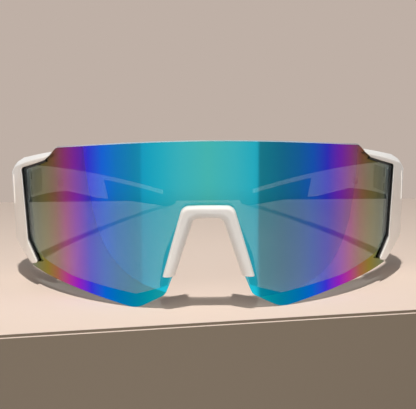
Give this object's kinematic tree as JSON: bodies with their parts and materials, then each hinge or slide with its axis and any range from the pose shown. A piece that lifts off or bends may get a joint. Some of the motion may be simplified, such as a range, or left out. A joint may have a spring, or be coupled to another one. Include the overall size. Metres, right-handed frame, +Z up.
{
  "type": "wraparound sport sunglasses",
  "caption": "Wraparound sport sunglasses with a one-piece mirrored shield lens, part frames at each side, a nose bridge and folding temples with rubber grips.",
  "frame": {"origin": "middle of the glasses' footprint on the surface they stand on, in their rest pose with the temples partly folded", "axes": "+X towards the wearer's left, +Y from the lens back along the temples, +Z up"},
  "size_m": [0.146, 0.1662, 0.0585],
  "materials": {
    "mirror_lens": "tinted polycarbonate with an iridescent mirror coating",
    "white_plastic": "moulded nylon, satin gloss",
    "pad_rubber": "soft matt rubber",
    "black_rubber": "matt seal rubber",
    "grip_rubber": "matt grip rubber",
    "hinge_steel": "stamped stainless steel",
    "screw_steel": "turned stainless steel",
    "washer_plastic": "nylon"
  },
  "bodies": {
    "front": {"shield_lens": "mirror_lens", "nose_bridge": "white_plastic", "nose_pad_left": "pad_rubber", "side_frame_left": "white_plastic", "lens_gasket_left": "black_rubber", "hinge_front_leaf_left": "hinge_steel", "hinge_screw_left": "screw_steel", "hinge_washers_left": "washer_plastic", "nose_pad_right": "pad_rubber", "side_frame_right": "white_plastic", "lens_gasket_right": "black_rubber", "hinge_front_leaf_right": "hinge_steel", "hinge_screw_right": "screw_steel", "hinge_washers_right": "washer_plastic"},
    "left_temple": {"temple_left": "white_plastic", "temple_grip_left": "grip_rubber", "hinge_temple_leaf_left": "hinge_steel"},
    "right_temple": {"temple_right": "white_plastic", "temple_grip_right": "grip_rubber", "hinge_temple_leaf_right": "hinge_steel"}
  },
  "joints": [
    {"name": "left_temple_fold", "type": "hinge", "parent": "front", "child": "left_temple", "pos_m": [0.0684, -0.02649, 0.0332], "axis": [0, 0, 1], "range_deg": [-18, 68.6]},
    {"name": "right_temple_fold", "type": "hinge", "parent": "front", "child": "right_temple", "pos_m": [-0.0684, -0.02649, 0.0332], "axis": [0, 0, -1], "range_deg": [-18, 60.6]}
  ]
}
